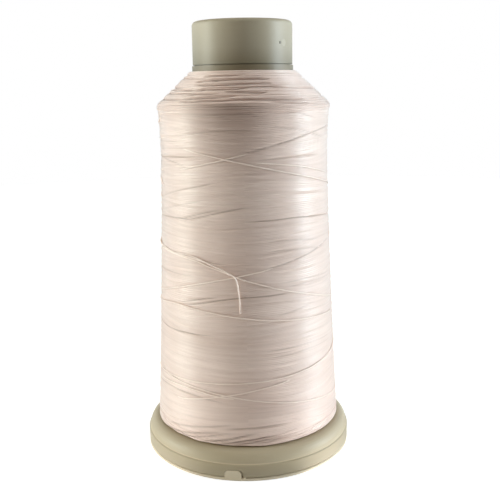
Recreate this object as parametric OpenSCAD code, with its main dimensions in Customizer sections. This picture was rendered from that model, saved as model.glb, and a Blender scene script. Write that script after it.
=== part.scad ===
// Waxed thread spool: a king-size plastic spool for leather stitching.
// A tapered barrel carries a pressed-on collar at the top and a pressed-on
// flange at the foot. A ring under the flange snaps down to trap the loose
// end of the thread. Millimetres, +Z up, origin at the centre of the face
// that the spool stands on. Angles of the thread are counted from the front
// (-Y), positive towards +X.

/* [Base flange] */
// Radius of the flange and of the lock ring's lip
flange_r = 41; // [39.5:0.5:46]
// Height of the winding face of the flange above the table
base_h = 11.3; // [10.5:0.1:16]
// Radius of the rounded edge of the flange
edge_round = 4.7; // [3.8:0.1:5]
// Wall of the flange plate
plate_t = 1.6; // [1.2:0.1:2]
// Wall of the skirt that hangs from the flange
skirt_wall = 1.7; // [1.4:0.1:2]
// Step where the rounded edge meets the skirt
skirt_step = 0.5; // [0.1:0.05:0.8]
// Height of the shadow groove between skirt and lip
groove_h = 0.45; // [0.2:0.05:0.8]
// Depth of that groove
groove_depth = 0.7; // [0.3:0.1:1]
// Number of stiffening ribs under the flange
rib_count = 12; // [6:1:18]
// Thickness of a rib
rib_t = 1.2; // [0.8:0.1:2]
// Wall of the hub that holds the barrel's foot
hub_wall = 1.7; // [1.2:0.1:2.4]
// Height of the hub's foot above the table
hub_lift = 3; // [2:0.1:4]
// Thickness of the ledge that the barrel stands on
ledge_t = 1.2; // [0.8:0.1:1.6]

/* [Lock ring] */
// Thickness of the ring's lip
lip_t = 1.1; // [0.8:0.1:1.4]
// Inner radius of the lip
lip_inner_r = 33; // [30:0.5:34.5]
// How far the ring snaps down to take the thread's end
lock_travel = 2.4; // [1.5:0.1:2.6]
// Wall of the ring's guide
guide_wall = 1.5; // [1.2:0.1:1.8]
// Number of snap fingers
finger_count = 6; // [3:1:8]
// Angle that one snap finger covers
finger_angle = 24; // [14:1:30]
// How far a finger's hook stands out
hook_depth = 0.55; // [0.45:0.05:0.65]
// How far the retaining bead stands in from the skirt
bead_depth = 0.55; // [0.45:0.05:0.6]
// Height of the retaining bead
bead_h = 1; // [0.8:0.1:1.2]
// Width of the thumb tab
tab_w = 6.4; // [4:0.1:10]
// Height of the thumb tab's top above the table
tab_top = 4.1; // [3.6:0.1:5.4]
// Angle of the thumb tab from the front
tab_angle = -8.5; // [-60:0.5:60]
// Depth of the pocket in the skirt that the tab moves in
tab_pocket = 0.9; // [0.7:0.1:1.1]
// Room beside the tab, where the thread's end comes out
thread_slot = 0.7; // [0.6:0.1:1.5]
// Width of the nib that keeps the thread's end beside the tab
nib_w = 1; // [0.6:0.1:1.6]

/* [Barrel] */
// Length of the winding space between flange and collar ring
traverse = 136.5; // [100:0.5:180]
// Outer radius of the barrel under the collar ring
barrel_top_r = 17.4; // [15.5:0.1:18.2]
// Wall of the barrel
barrel_wall = 1.7; // [1.2:0.1:2]
// Radius of the bore at the barrel's mouth
mouth_r = 21.5; // [19.5:0.1:24]
// Wall around that bore
mouth_wall = 2; // [1.6:0.1:2.6]
// Length of that bore
mouth_len = 10; // [6:0.5:16]
// Thickness of the ring that stops the thread under the collar
stop_ring_t = 2.1; // [1.4:0.1:4]
// Radius of that ring
stop_ring_r = 19.1; // [18.6:0.1:21]
// Length of the neck inside the collar
neck_len = 8; // [5:0.5:9]
// Wall of the neck
neck_wall = 1.8; // [1.2:0.1:2.2]

/* [Collar] */
// Outer radius of the collar
collar_r = 18.85; // [18.3:0.05:19]
// Height of the collar
collar_h = 16.1; // [15:0.1:24]
// Wall of the collar
collar_wall = 1.9; // [1.5:0.1:2.2]
// Radius of the collar's rounded top edge
collar_round = 1.6; // [0.8:0.1:1.8]
// Thickness of the collar's top
top_t = 2; // [1.6:0.1:2.6]
// Radius of the spindle bore
bore_r = 6.5; // [4:0.1:8]
// Length of the spindle bore
bore_len = 12; // [8:0.5:14]
// Wall of the sleeve around the spindle bore
sleeve_wall = 1.6; // [1.2:0.1:2.2]
// Depth of the shallow recess in the top
recess_depth = 0.5; // [0.2:0.1:0.8]
// Number of webs between sleeve and collar
web_count = 4; // [3:1:8]
// Thickness of a web
web_t = 1.4; // [1:0.1:2]
// Height of the shadow line between collar and stop ring
shadow_h = 0.35; // [0.2:0.05:0.6]
// Depth of that shadow line
shadow_depth = 0.7; // [0.4:0.1:1.2]

/* [Thread] */
// Diameter of the waxed thread
thread_d = 0.5; // [0.3:0.05:0.6]
// How far the flange stands out past the foot of the package
flange_shelf = 4.4; // [4:0.1:7]
// Radius of the package at its waist
package_waist_r = 32.1; // [28:0.1:34]
// Radius of the package under the shoulder
package_head_r = 32.7; // [28:0.1:34.5]
// Height of the sloping shoulder under the collar
shoulder_h = 12.3; // [8:0.1:16]
// Radius of the rounded edge between the package's side and its shoulder
shoulder_round = 3; // [1:0.5:5]
// Number of ridges that the thread makes on the shoulder
ridge_count = 6; // [3:1:8]
// Turns side by side in one ridge
ridge_turns = 2; // [1:1:3]
// Number of single turns that lie on the foot of the package
foot_turn_count = 5; // [2:1:8]
// Spacing of those turns
foot_turn_pitch = 1.45; // [0.8:0.05:2]

/* [Hidden] */

$fn = 96;
// Shortest overshoot of a cut past the face it opens
cut = 1;
// Clearance of a pressed seat, and of the lock ring's sliding parts
seat_gap = 0.05;
slide_gap = 0.3;
// Gap that keeps the swept turns off the package they lie on
lay_gap = 0.05;
// Clearance of the tab and the nib, and how far the tab's face stands back
// from the skirt's
tab_gap = 0.12;
tab_inset = 0.05;
// How far the ledge's hole stands back from the barrel's bore
ledge_back = 0.8;
// Gap between hook and bead when the ring is down, and the flat on a hook
hook_gap = 0.1;
hook_flat = 0.45;
// Edge breaks on the bore's mouth, the lip and the tab
bore_chamfer = 0.6;
lip_chamfer = 0.3;
tab_chamfer = 1;

plastic = "#9c9684";
plastic_dark = "#8d8776";
thread_pale = "#e3d3cb";
thread_light = "#efe2da";

// Outer radius of the barrel at the flange
barrel_foot_r = mouth_r + mouth_wall;

// Heights of the stack, from the table up
barrel_foot_z = hub_lift + ledge_t;
stop_ring_z = base_h + traverse;
collar_z = stop_ring_z + stop_ring_t;
top_z = collar_z + collar_h;
shoulder_z = stop_ring_z - shoulder_h;

// Flange and skirt
round_r = flange_r - skirt_step;
round_z = base_h - edge_round;
round_centre_r = round_r - edge_round;
skirt_in_r = flange_r - skirt_wall;
hub_in_r = barrel_foot_r + seat_gap;
hub_out_r = hub_in_r + hub_wall;
ledge_r = mouth_r + ledge_back;
bead_r = skirt_in_r - bead_depth;
bead_top = lip_t + bead_depth + bead_h;

// Lock ring
guide_out_r = bead_r - slide_gap;
guide_in_r = guide_out_r - guide_wall;
hook_z = bead_top + lock_travel + hook_gap;
finger_top = hook_z + hook_depth + hook_flat + slide_gap;
guide_h = 2;
rib_out_r = guide_in_r - slide_gap;
rib_foot = barrel_foot_z;
pocket_r = flange_r - tab_pocket;

// Collar
neck_r = collar_r - collar_wall - seat_gap;
neck_in_r = neck_r - neck_wall;
collar_in_r = collar_r - collar_wall;
sleeve_r = bore_r + sleeve_wall;
web_foot = collar_z + neck_len + slide_gap;
recess_margin = 1.1;

// Package: it stands back from the flange's edge, and its top lies one
// thread outside the stop ring
package_foot_r = flange_r - flange_shelf;
package_top_r = stop_ring_r + thread_d;
waist_share = 0.78;
waist_z = base_h + waist_share * traverse;
flare_exponent = 1.25;
shoulder_slope = (package_head_r - package_top_r) / shoulder_h;
shoulder_angle = atan(shoulder_slope);
round_start_z = shoulder_z - shoulder_round * tan(shoulder_angle / 2);
round_end_z = round_start_z + shoulder_round * sin(shoulder_angle);

// Turns that lie on the package
lay_r = thread_d / 2 + lay_gap;
ring_angle = 5;
tube_sides = 8;
turn_sides = 24;
tail_steps = 3;
// Where the lowest ridge starts, as a share of the ridges' spacing
ridge_start = 0.2;
// The two fast passes of the winder, bottom to top and back down: angle from
// the front in degrees, height as a share of the traverse
rising_points = [[-170, 0.10], [-65, 0.165], [60, 0.21], [180, 0.31], [294, 0.405],
                 [340, 0.46], [428, 0.535], [560, 0.65], [677, 0.755], [793, 0.845],
                 [860, 0.885]];
falling_points = [[-150, 0.89], [-55, 0.81], [71, 0.70], [190, 0.60], [290, 0.52],
                  [328, 0.515], [360, 0.46], [424, 0.38], [540, 0.27], [662, 0.165],
                  [766, 0.10], [850, 0.05]];
// Angle over which a pass's line is averaged, so that it bends smoothly
blend_angle = 18;
// How far apart two passes start to climb over each other
climb_reach = 1.8;
// The thread's free end: angle from the front, height above the table, and
// how many threads it lies on top of
tail_points = [[-50, 82.5, 0], [-44, 82.7, 0], [-38, 82.5, 0], [-32, 81.9, 0],
               [-26, 80.9, 0.3], [-20, 79.7, 0.8], [-14, 78.3, 1.4], [-10, 77.2, 1.9],
               [-7.5, 76.3, 2.1], [-6, 75.2, 2.2], [-5.2, 73.8, 2.1], [-4.8, 72.2, 1.7],
               [-4.5, 70.5, 1.1], [-4.2, 68.5, 0.5], [-4, 66.3, 0.1], [-3.8, 64.2, 0],
               [-3.8, 62.4, 0]];

// Points of an arc in a profile, from one angle to another
function arc(centre_r, centre_z, r, from, to, steps = 8) =
    [for (i = [0:steps]) let (a = from + (to - from) * i / steps)
        [centre_r + r * cos(a), centre_z + r * sin(a)]];

// Outer radius of the barrel at a height
function barrel_r(z) =
    barrel_foot_r + (barrel_top_r - barrel_foot_r) * (z - base_h) / traverse;

// Radius of the package at a height: flared foot, waist, slight head, rounded
// edge, sloping shoulder
function package_r(z) =
    z >= round_end_z ? package_head_r - shoulder_slope * min(shoulder_h, z - shoulder_z)
    : z >= round_start_z ? package_head_r - shoulder_round
        + sqrt(pow(shoulder_round, 2) - pow(z - round_start_z, 2))
    : z >= waist_z ? package_waist_r + (package_head_r - package_waist_r)
        * pow((z - waist_z) / (round_start_z - waist_z), 2)
    : package_waist_r + (package_foot_r - package_waist_r)
        * pow((waist_z - z) / (waist_z - base_h), flare_exponent);

// A point at an angle from the front, a radius and a height
function around(angle, r, z) = [r * sin(angle), -r * cos(angle), z];

// Height of a pass at an angle, averaged so that it has no kinks
function pass_z(points, a) = base_h + traverse
    * (lookup(a - blend_angle, points) + 2 * lookup(a, points)
       + lookup(a + blend_angle, points)) / 4;

// Distance in height from a point to the nearest turn of the rising pass
function rising_gap(a, z) =
    min([for (k = [-3:3]) let (b = a + 360 * k)
        (b < rising_points[0][0] || b > rising_points[len(rising_points) - 1][0])
            ? traverse : abs(pass_z(rising_points, b) - z)]);

// How far the falling pass is lifted where it climbs over the rising one
function climb(gap) = let (t = max(0, min(1, (climb_reach - gap) / (climb_reach - thread_d))))
    (thread_d + 2 * lay_gap) * t * t * (3 - 2 * t);

function rising_route() = let (p = rising_points, last = p[len(p) - 1][0])
    [for (a = [p[0][0]:ring_angle:last]) let (z = pass_z(p, a))
        around(a, package_r(z) + lay_r, z)];

function falling_route() = let (p = falling_points, last = p[len(p) - 1][0])
    [for (a = [p[0][0]:ring_angle:last]) let (z = pass_z(p, a))
        around(a, package_r(z) + lay_r + climb(rising_gap(a, z)), z)];

function tail_route() =
    [for (p = tail_points)
        around(p[0], package_r(p[1]) + lay_r + p[2] * (thread_d + lay_gap), p[1])];

// Smooth curve through a route's points, with so many steps between two
function between(a, b, c, d, t) =
    ((2 * b) + (c - a) * t + (2 * a - 5 * b + 4 * c - d) * t * t
     + (3 * b - a - 3 * c + d) * t * t * t) / 2;
function smooth(p, steps) = let (n = len(p))
    [for (i = [0:n - 2]) for (s = [0:steps - 1])
        between(p[max(0, i - 1)], p[i], p[i + 1], p[min(n - 1, i + 2)], s / steps),
     p[n - 1]];

function unit(v) = v / norm(v);

// A closed round tube swept along a route that lies around the Z axis
module tube(route, d) {
    n = len(route);
    rings = [for (i = [0:n - 1])
        let (ahead = unit(route[min(n - 1, i + 1)] - route[max(0, i - 1)]),
             out = unit([route[i].x, route[i].y, 0]),
             side = unit(cross(ahead, out)),
             up = cross(side, ahead))
        for (k = [0:tube_sides - 1]) let (a = 360 * k / tube_sides)
            route[i] + d / 2 * (side * cos(a) + up * sin(a))];
    walls = [for (i = [0:n - 2]) for (k = [0:tube_sides - 1])
        let (a = i * tube_sides + k, b = i * tube_sides + (k + 1) % tube_sides)
        each [[a, b, b + tube_sides], [a, b + tube_sides, a + tube_sides]]];
    start = [[for (k = [0:tube_sides - 1]) tube_sides - 1 - k]];
    end = [[for (k = [0:tube_sides - 1]) (n - 1) * tube_sides + k]];
    polyhedron(points = rings, faces = concat(walls, start, end), convexity = 10);
}

// The tapered tube: mouth bore at the foot, stop ring and neck at the top
module core_barrel() {
    mouth_z = barrel_foot_z + mouth_len;
    color(plastic) rotate_extrude() polygon([
        [mouth_r, barrel_foot_z],
        [barrel_foot_r, barrel_foot_z],
        [barrel_foot_r, base_h],
        [barrel_top_r, stop_ring_z],
        [stop_ring_r, stop_ring_z],
        [stop_ring_r, collar_z],
        [neck_r, collar_z],
        [neck_r, collar_z + neck_len],
        [neck_in_r, collar_z + neck_len],
        [neck_in_r, stop_ring_z],
        [barrel_top_r - barrel_wall, stop_ring_z],
        [barrel_r(mouth_z) - barrel_wall, mouth_z],
        [mouth_r, mouth_z],
    ]);
}

// One side of the flange: hub, plate, rounded edge, skirt, bead and groove
module flange_profile() {
    polygon(concat(
        [[ledge_r, hub_lift], [hub_out_r, hub_lift],
         [hub_out_r, base_h - plate_t]],
        arc(round_centre_r, round_z, edge_round - plate_t, 90, 0),
        [[skirt_in_r, round_z], [skirt_in_r, bead_top], [bead_r, bead_top],
         [bead_r, bead_top - bead_h], [skirt_in_r, lip_t],
         [flange_r - groove_depth, lip_t], [flange_r - groove_depth, lip_t + groove_h],
         [flange_r, lip_t + groove_h], [flange_r, round_z - skirt_step],
         [round_r, round_z]],
        arc(round_centre_r, round_z, edge_round, 0, 90),
        [[hub_in_r, base_h], [hub_in_r, barrel_foot_z], [ledge_r, barrel_foot_z]]
    ));
}

// Outline of the thumb tab from its foot up, with its top corners cut off, or
// of the pocket around it
module tab_outline(foot, left = 0, right = 0, up = 0) {
    half = tab_w / 2;
    corner = tab_chamfer + up * (2 - sqrt(2));
    polygon([
        [-half - left, foot], [half + right, foot],
        [half + right, tab_top + up - corner], [half + right - corner, tab_top + up],
        [corner - half - left, tab_top + up], [-half - left, tab_top + up - corner],
    ]);
}

// The flange with its ribs, and the shallow pocket that the thumb tab moves in
module base_flange() {
    color(plastic) {
        difference() {
            rotate_extrude() flange_profile();
            difference() {
                rotate([90, 0, tab_angle]) linear_extrude(flange_r + cut)
                    tab_outline(lip_t - cut, tab_gap, thread_slot, tab_gap);
                cylinder(h = base_h, r = pocket_r);
            }
        }
        for (i = [0:rib_count - 1]) rotate([0, 0, 360 * (i + 0.5) / rib_count])
            translate([hub_out_r - seat_gap, -rib_t / 2, rib_foot])
                cube([rib_out_r - hub_out_r + seat_gap, rib_t, base_h - plate_t / 2 - rib_foot]);
    }
}

// The ring under the flange: lip, guide, snap fingers and thumb tab
module lock_ring() {
    gap_angle = 360 / finger_count - finger_angle;
    reach = guide_out_r + hook_depth + cut;
    color(plastic_dark) {
        difference() {
            rotate_extrude() polygon([
                [lip_inner_r, 0],
                [flange_r - lip_chamfer, 0],
                [flange_r, lip_chamfer],
                [flange_r, lip_t - lip_chamfer],
                [flange_r - lip_chamfer, lip_t],
                [guide_out_r, lip_t],
                [guide_out_r, hook_z],
                [guide_out_r + hook_depth, hook_z],
                [guide_out_r + hook_depth, hook_z + hook_flat],
                [guide_out_r, hook_z + hook_flat + hook_depth],
                [guide_out_r, finger_top],
                [guide_in_r, finger_top],
                [guide_in_r, lip_t],
                [lip_inner_r, lip_t],
            ]);
            for (i = [0:finger_count - 1]) rotate([0, 0, tab_angle - 90 + 360 * i / finger_count])
                translate([0, 0, lip_t + guide_h])
                    linear_extrude(finger_top) polygon([
                        [0, 0],
                        [reach, -reach * tan(gap_angle / 2)],
                        [reach, reach * tan(gap_angle / 2)],
                    ]);
        }
        rotate([0, 0, tab_angle]) thumb_tab();
    }
}

// The tab that a thumb presses down to open the lock, and the nib beside it
module thumb_tab() {
    nib_x = tab_w / 2 + thread_slot;
    nib_r = flange_r - groove_depth + tab_gap / 2;
    intersection() {
        rotate([90, 0, 0]) linear_extrude(flange_r + cut) tab_outline(lip_t / 2);
        rotate_extrude() translate([pocket_r + tab_gap, 0])
            square([flange_r - tab_inset - pocket_r - tab_gap, tab_top + cut]);
    }
    intersection() {
        translate([nib_x, -flange_r - cut, lip_t / 2])
            cube([nib_w, flange_r, lip_t / 2 + groove_h - tab_gap / 2]);
        rotate_extrude() translate([nib_r, 0])
            square([flange_r - tab_inset - nib_r, tab_top]);
    }
}

// The cap on the barrel's neck, with the sleeve that runs on the spindle
module top_collar() {
    sleeve_foot = top_z - bore_len;
    recess_z = top_z - recess_depth;
    shadow_r = collar_r - shadow_depth;
    color(plastic) {
        rotate_extrude() polygon(concat(
            [[collar_in_r, collar_z], [shadow_r, collar_z],
             [shadow_r, collar_z + shadow_h], [collar_r, collar_z + shadow_h]],
            arc(collar_r - collar_round, top_z - collar_round, collar_round, 0, 90),
            [[collar_in_r - recess_margin, top_z], [collar_in_r - recess_margin, recess_z],
             [sleeve_r + recess_margin, recess_z], [sleeve_r + recess_margin, top_z],
             [bore_r + bore_chamfer, top_z], [bore_r, top_z - bore_chamfer],
             [bore_r, sleeve_foot], [sleeve_r, sleeve_foot], [sleeve_r, top_z - top_t],
             [collar_in_r, top_z - top_t]]
        ));
        for (i = [0:web_count - 1]) rotate([0, 0, 360 * (i + 0.5) / web_count])
            translate([sleeve_r - seat_gap, -web_t / 2, web_foot])
                cube([collar_in_r - sleeve_r + 2 * seat_gap, web_t, top_z - top_t / 2 - web_foot]);
    }
}

// The wound thread, from the barrel out to the last full layer
module thread_package() {
    steps = 30;
    side = [for (i = [0:steps - 1]) let (z = base_h + (round_start_z - base_h) * i / steps)
        [package_r(z), z]];
    color(thread_pale) rotate_extrude() polygon(concat(
        [[barrel_foot_r, base_h]], side,
        arc(package_head_r - shoulder_round, round_start_z, shoulder_round, 0, shoulder_angle, 5),
        [[package_top_r, stop_ring_z], [barrel_top_r, stop_ring_z]]
    ));
}

// One turn of thread that lies on the package at a height
module turn(z) {
    out = unit([1, z > shoulder_z ? shoulder_slope : 0]) * lay_r;
    rotate_extrude() translate([package_r(z) + out.x, z + out.y]) circle(d = thread_d, $fn = turn_sides);
}

// Turns that bunch into ridges on the sloping shoulder
module shoulder_turns() {
    pitch = (shoulder_h - ridge_turns * thread_d) / ridge_count;
    color(thread_light)
        for (i = [0:ridge_count - 1]) for (j = [0:ridge_turns - 1])
            turn(shoulder_z + thread_d + pitch * (i + ridge_start) + j * (thread_d + lay_gap));
}

// Single turns at the foot, where the winder reverses
module foot_turns() {
    color(thread_light)
        for (i = [0:foot_turn_count - 1])
            turn(base_h + thread_d + foot_turn_pitch * i);
}

// The winder's last fast pass up the package
module rising_pass() {
    color(thread_light) tube(rising_route(), thread_d);
}

// Its last fast pass down, which climbs over the rising one
module falling_pass() {
    color(thread_light) tube(falling_route(), thread_d);
}

// The loose end, which runs down across the front and hangs on the package
module thread_tail() {
    color(thread_light) tube(smooth(tail_route(), tail_steps), thread_d);
}

core_barrel();
base_flange();
lock_ring();
top_collar();
thread_package();
shoulder_turns();
foot_turns();
rising_pass();
falling_pass();
thread_tail();
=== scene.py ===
# The looks of a waxed thread spool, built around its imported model. The plastic
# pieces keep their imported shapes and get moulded-plastic finishes. The thread
# is laid again here, turn by turn. Metres, +Z up, and -Y is the front. Angles
# around the spool are counted from the front, positive towards +X. A level
# says how much of something there is.
import math

import bmesh
import bpy
import numpy as np
from mathutils import Matrix, Vector


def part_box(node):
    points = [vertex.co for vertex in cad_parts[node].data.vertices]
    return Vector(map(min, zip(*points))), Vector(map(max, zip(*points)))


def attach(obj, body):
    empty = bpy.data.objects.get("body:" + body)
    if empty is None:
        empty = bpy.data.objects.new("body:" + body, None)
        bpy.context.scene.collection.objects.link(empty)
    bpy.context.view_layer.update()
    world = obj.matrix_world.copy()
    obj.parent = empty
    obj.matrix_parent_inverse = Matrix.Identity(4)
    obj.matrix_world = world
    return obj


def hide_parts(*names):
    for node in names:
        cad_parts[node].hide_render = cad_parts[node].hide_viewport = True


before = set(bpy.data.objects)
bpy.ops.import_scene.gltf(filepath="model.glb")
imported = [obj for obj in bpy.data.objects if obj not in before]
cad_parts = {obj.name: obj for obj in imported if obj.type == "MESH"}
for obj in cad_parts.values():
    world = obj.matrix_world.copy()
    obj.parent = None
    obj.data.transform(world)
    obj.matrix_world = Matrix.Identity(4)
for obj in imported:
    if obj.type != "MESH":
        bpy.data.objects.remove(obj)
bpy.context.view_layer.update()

MM = 0.001
TAU = 2 * math.pi

# ---- Sizes of the package ------------------------------------------------

# The thread, and the gap that it keeps to what it lies on
THREAD_D = 0.5 * MM
THREAD_R = THREAD_D / 2
LAY_GAP = 0.05 * MM
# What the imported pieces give: both ends of the winding, and how far package, barrel and
# collar reach out
package_low, package_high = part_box("thread_package")
FOOT_Z = package_low.z
HEAD_Z = package_high.z
FOOT_R = package_high.x
BARREL_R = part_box("core_barrel")[1].x
BARREL_TOP_R = 17.4 * MM
COLLAR_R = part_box("top_collar")[1].x
# The side is narrowest at the waist, and widens down to the foot and up to the head
WAIST_R = 32.1 * MM
WAIST_SHARE = 0.78
WAIST_Z = FOOT_Z + WAIST_SHARE * (HEAD_Z - FOOT_Z)
FLARE_EXPONENT = 1.25
HEAD_R = 32.7 * MM
# The shoulder slopes from the head in to the stop ring, and its edge is rounded
STOP_RING_R = 19.1 * MM
TOP_R = STOP_RING_R + THREAD_D
SHOULDER_H = 12.3 * MM
SHOULDER_Z = HEAD_Z - SHOULDER_H
SHOULDER_ROUND = 3 * MM
SHOULDER_SLOPE = (HEAD_R - TOP_R) / SHOULDER_H
SHOULDER_ANGLE = math.atan(SHOULDER_SLOPE)
ROUND_START_Z = SHOULDER_Z - SHOULDER_ROUND * math.tan(SHOULDER_ANGLE / 2)
ROUND_END_Z = ROUND_START_Z + SHOULDER_ROUND * math.sin(SHOULDER_ANGLE)
# The shoulder's own turns start a little below its rounded edge. Their slope is
# measured in so many steps
SHOULDER_LEAD = 0.6 * MM
SHOULDER_START_Z = ROUND_START_Z - SHOULDER_LEAD
SLOPE_STEPS = 400

# ---- The winding ---------------------------------------------------------

WINDING_SEED = 7
# Spacing of the turns on the side, the mesh that each turn gets, and the valleys
# between them: the smaller the exponent, the narrower
TURN_PITCH = 0.55 * MM
COLUMNS = 104
ROWS_PER_TURN = 4
VALLEY_DEPTH = 0.17 * MM
VALLEY_EXPONENT = 0.8
# How far turns wander up and down, and how far bunches stand out. Their waves: how
# many fit around the spool at most, lengths in height, and how many are added up
WANDER = 0.75 * MM
WANDER_WAVES = (3, (14 * MM, 46 * MM), 9)
BUNCH_RELIEF = 0.066 * MM
BUNCH_WAVES = (6, (1.1 * MM, 3.4 * MM), 22)
# Heights over which both fade out, at the foot and under the shoulder
FOOT_CALM = 3 * MM
EDGE_CALM = 2 * MM
# How many sides a round thread gets
THREAD_SIDES = 8
# The package's maps: the radius at which the thread map is true to size around the
# spool, and how many turns the hidden faces at the stop ring and barrel count for
MAP_R = 33 * MM
HIDDEN_TURNS = (8, 60)
# Margin of each thread's strip on a bake map, as a share of the strip
STRIP_MARGIN = 0.05
# The fast passes of the winder: angle in degrees, height as a share of the
# winding space
RISING_POINTS = [(-170, 0.10), (-72, 0.166), (-35, 0.171), (-12, 0.179), (12, 0.184),
                 (30, 0.192), (66, 0.211), (180, 0.31), (294, 0.405), (340, 0.46),
                 (428, 0.535), (560, 0.65), (680, 0.752), (703, 0.772), (738, 0.808),
                 (760, 0.831), (780, 0.844), (810, 0.856), (860, 0.885)]
FALLING_POINTS = [(-150, 0.89), (-55, 0.81), (-20, 0.786), (14, 0.753), (71, 0.70),
                  (190, 0.60), (290, 0.52), (328, 0.515), (360, 0.46), (424, 0.38),
                  (540, 0.27), (640, 0.175), (672, 0.160), (692, 0.156), (708, 0.146),
                  (724, 0.131), (766, 0.10), (850, 0.05)]
# Angle to each side over which a pass is averaged, and a single turn, which takes
# the mean of so many places
BLEND_ANGLE = 18
BEND_ANGLE = 8
BEND_STEPS = 9
# Where a pass lies under later turns: from and to what angle, and how deep a groove
# it leaves a little above it, from 0 to 1
RISING_COVERED = [(368, 440, 0.9), (592, 682, 0.0), (714, 812, 1.0)]
FALLING_COVERED = [(-120, -34, 0.2), (626, 664, 0.5)]
COVER_RISE = 0.3 * MM
# How many thread radii a pass is pressed in, and a slack turn of level 0
PASS_SINK = 1.0
SLACK_SINK = 1.15
# Slack turns that stand out of the side: their level, which is how many thread radii
# less they are pressed in, then angle in degrees and height in mm
SLACK_TURNS = [
    (0.2, [(-100, 83.6), (-70, 83.2), (-37, 81.7), (-21, 80.3), (-8, 78.8)]),
    (0.9, [(-140, 57.4), (-90, 60.2), (-66, 61.9), (-49, 63.4), (-24, 62.3), (-4, 60.7),
           (19, 59.0), (44, 57.6), (84, 55.6)]),
    (0.5, [(-54, 25.7), (-37, 27.6), (-16, 30.6), (12, 34.2), (32, 36.3)]),
    (0.0, [(-80, 29.4), (-58, 31.2), (-43, 31.9), (-24, 31.0), (-2, 29.4)]),
    (-0.2, [(0, 116.6), (22, 115.5), (41, 114.0), (58, 111.9), (80, 109.6)]),
]
# Turns pulled in tight, which leave a groove: how deep, from 0 to 1, then angle and
# height
TIGHT_TURNS = [
    (0.8, [(-120, 114.5), (-80, 116.7), (-48, 117.8), (-22, 118.2)]),
    (0.8, [(-90, 118.0), (-56, 116.0), (-46, 114.9), (-36, 114.1)]),
    (0.6, [(-110, 97.0), (-68, 102.8), (-47, 105.9), (-32, 107.4), (-14, 110.0)]),
    (0.5, [(-110, 92.4), (-64, 98.2), (-36, 101.8), (-22, 103.6)]),
    (1.0, [(-120, 93.2), (-78, 94.5), (-48, 95.6), (-30, 95.6)]),
    (0.9, [(-52, 94.6), (-44, 95.8), (-30, 98.0), (-12, 100.4)]),
    (1.0, [(-46, 94.6), (-38, 95.5), (-25, 97.5), (-8, 99.8), (6, 101.0)]),
    (1.0, [(-4, 95.4), (7, 95.5), (20, 95.8), (32, 96.0), (73, 94.4), (100, 92.6)]),
    (0.7, [(4, 116.6), (20, 117.5), (38, 117.8), (62, 117.4)]),
    (0.6, [(-100, 73.0), (-68, 74.4), (-52, 74.5), (-30, 74.9)]),
    (1.0, [(-46, 64.3), (-38, 65.3), (-28, 66.9), (-14, 68.6)]),
    (1.0, [(-46, 62.8), (-38, 63.9), (-19, 66.6), (-6, 68.0), (10, 68.3), (32, 68.9)]),
    (0.9, [(-120, 53.4), (-68, 52.6), (-54, 52.5), (-33, 53.0), (-18, 53.6)]),
    (0.5, [(14, 60.4), (23, 61.0), (35, 62.0), (52, 63.8)]),
    (0.75, [(-88, 26.8), (-61, 29.6), (-30, 29.3), (-10, 27.6)]),
    (0.5, [(6, 88.6), (30, 88.0), (60, 86.2)]),
    (0.5, [(10, 84.9), (36, 84.3), (70, 82.6)]),
    (0.5, [(16, 72.6), (40, 72.9), (78, 71.8)]),
    (0.4, [(20, 70.8), (44, 71.3), (80, 70.6)]),
    (0.45, [(8, 47.6), (34, 48.2), (72, 47.6)]),
    (0.4, [(12, 45.2), (38, 45.9), (70, 45.8)]),
    (0.5, [(-60, 124.6), (-20, 127.2), (10, 128.0)]),
    (0.6, [(10, 129.4), (40, 126.8), (72, 122.6)]),
    (0.7, [(-34, 136.4), (-18, 135.7), (-11, 135.2), (-4, 134.3), (4, 132.9), (16, 130.8)]),
    (0.5, [(-58, 136.6), (-44, 136.1), (-33, 135.1), (-21, 133.6), (-10, 131.4), (0, 129.4)]),
    (0.5, [(12, 136.4), (23, 135.4), (33, 133.6), (47, 131.7), (60, 129.6)]),
]
# Wider grooves on the foot, where the winder turns back
FOOT_GROOVES = [
    (0.6, [(-66, 11.8), (-54, 12.2), (-40, 13.4), (-25, 15.6), (-14, 16.9)]),
    (0.6, [(-52, 11.8), (-38, 12.3), (-31, 13.1), (-20, 15.2), (-6, 17.2)]),
    (0.8, [(-32, 11.8), (-18, 13.1), (-12, 13.8), (-2, 15.8), (8, 17.2)]),
    (0.9, [(-22, 11.9), (-9, 12.8), (1, 14.1), (12, 14.9), (22, 15.4)]),
    (0.8, [(-13, 11.8), (-4, 12.2), (5, 13.4), (16, 14.4), (23, 14.8)]),
    (0.5, [(-2, 11.8), (11, 12.9), (19, 13.9), (28, 14.8)]),
    (0.6, [(-18, 17.9), (0, 18.6), (8, 18.9), (26, 19.3)]),
    (0.5, [(-62, 14.4), (-48, 15.2), (-28, 17.6), (-6, 20.2)]),
]
FOOT_GROOVE_DEPTH = 0.75 * MM
FOOT_GROOVE_W = 0.4 * MM
# More of them at chance places, away from the front: their first angle, lowest
# height, angles and rises from there, and levels
MORE_FOOT_GROOVES = 14
GROOVE_START = (40, 250)
GROOVE_LOWEST = (11.8, 13.5)
GROOVE_ANGLES = (0, 16, 36, 60)
GROOVE_RISES = (0.0, 1.3, 2.6, 3.6)
GROOVE_LEVELS = (0.3, 0.9)
# More slack and tight turns at chance places on the back and sides: their levels,
# first angle, the angle they span and never go past, and in mm their height, how
# far each half climbs, and how far the middle is off
MORE_SLACK_TURNS = 12
SLACK_LEVELS = (-0.3, 0.4)
MORE_TIGHT_TURNS = 34
TIGHT_LEVELS = (0.2, 0.6)
TURN_START = (62, 208)
TURN_SPAN = (70, 170)
TURN_END = 298
TURN_HEIGHT = (16, 130)
TURN_CLIMB = (1, 9)
TURN_BEND = 1.2
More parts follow.
